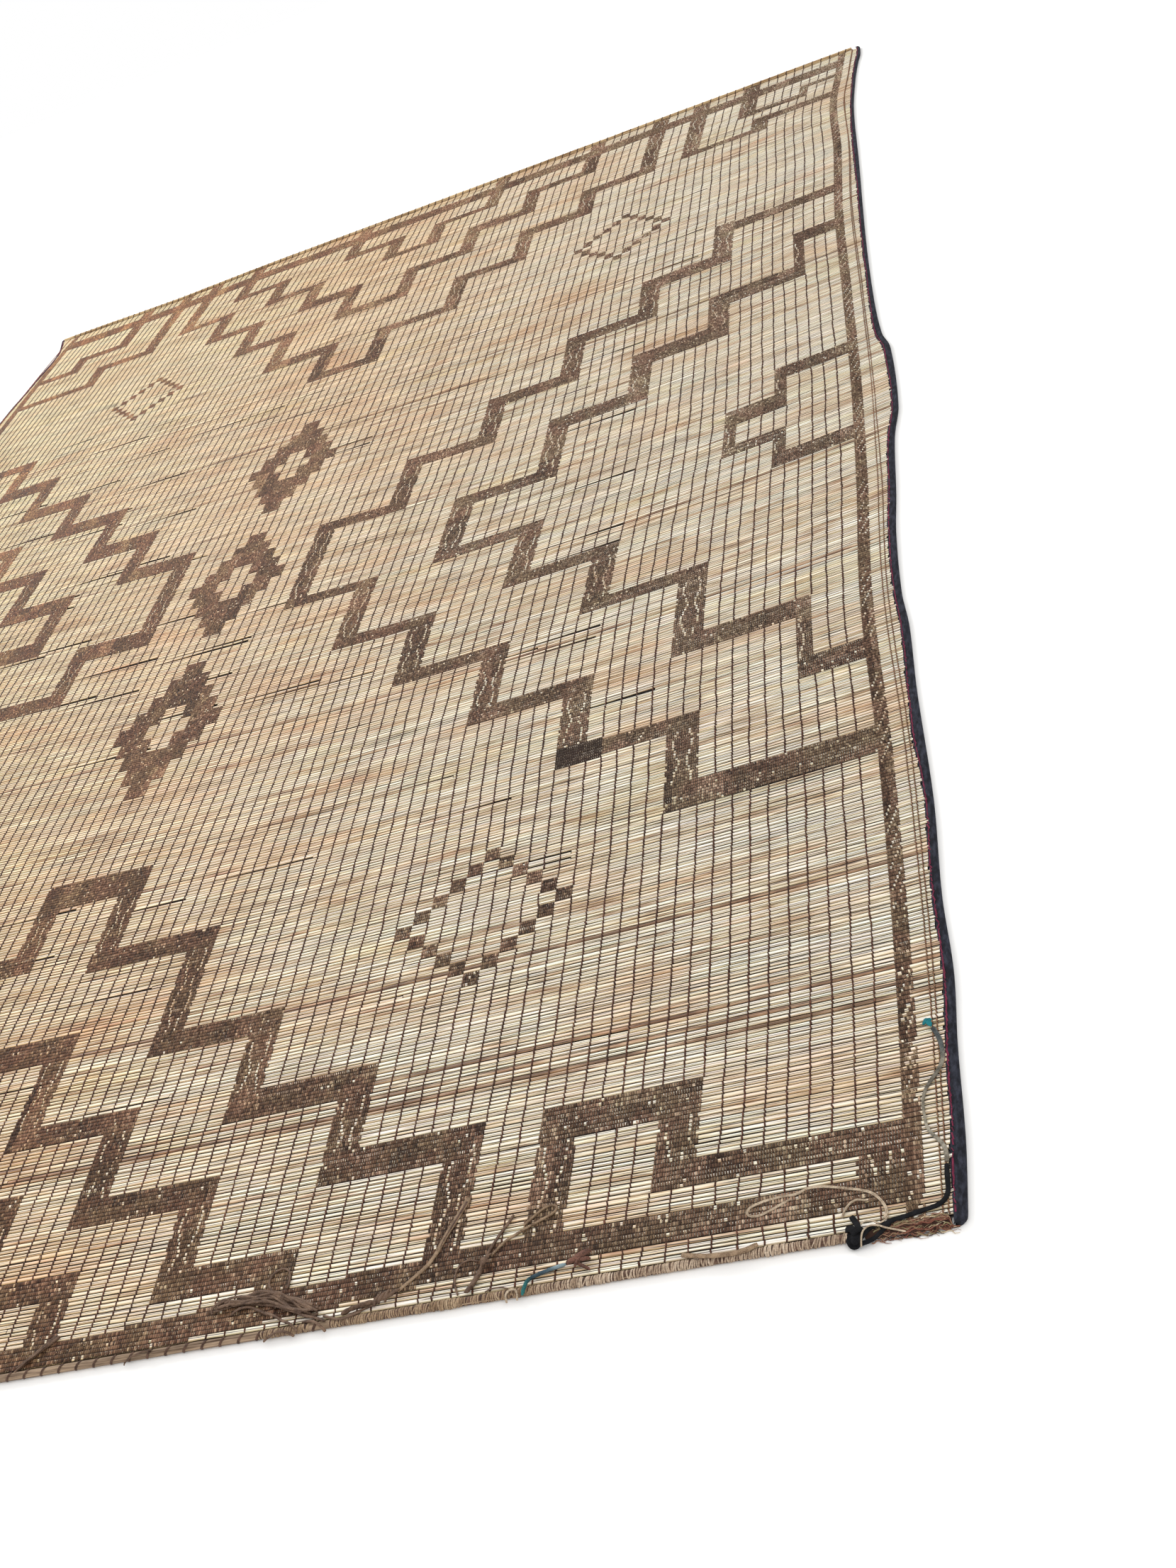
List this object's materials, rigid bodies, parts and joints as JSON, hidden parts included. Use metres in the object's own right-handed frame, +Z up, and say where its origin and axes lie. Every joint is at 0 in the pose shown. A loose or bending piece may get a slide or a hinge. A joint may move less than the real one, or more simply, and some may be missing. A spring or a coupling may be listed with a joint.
{
  "type": "tuareg mat",
  "caption": "Large flat floor mat of split reeds woven with dark leather thongs in stepped diamonds and zigzags, with cloth-bound sides, lashed ends and loose ties along the near end.",
  "frame": {"origin": "the middle of the mat's outline, on the floor", "axes": "+X across the mat along the reeds, to the right as seen from the end with the ties; +Y along the mat, away from that end; +Z up"},
  "size_m": [3.0225, 4.5858, 0.0195],
  "materials": {
    "reed": "split reed, satin, bound with thong",
    "bundle": "bundled reed stems lashed with thong",
    "thong": "hand-cut thong, dull, worn",
    "binding": "plain cotton strip, faded black, hand sewn",
    "fray": "loose plant and thong fibres",
    "blue_twine": "laid cord, faded",
    "pale_twine": "pale rawhide thong, dry",
    "black_cloth": "twisted strip of black cotton",
    "grey_tape": "flat woven tape, worn",
    "teal_knot": "knotted cotton yarn"
  },
  "bodies": {
    "root": {"field": "reed", "binding_right_near": "binding", "binding_right_far": "binding", "binding_left": "binding", "near_bundle": "bundle", "far_bundle": "bundle", "frayed_edge": "fray", "black_knot": "black_cloth", "strap_knot": "thong", "hide_tuft": "thong", "thong_tuft": "thong", "thong_knot": "thong", "thong_stem": "thong", "thong_loop": "thong", "thong_spur": "thong", "thin_loop": "thong", "corner_tie": "thong", "tuft_loop": "thong", "strap": "thong", "brown_strip": "thong", "blue_cord": "blue_twine", "pale_loop": "pale_twine", "pale_arc": "pale_twine", "black_strip": "black_cloth", "grey_tape": "grey_tape", "tape_knot": "teal_knot"}
  },
  "joints": []
}
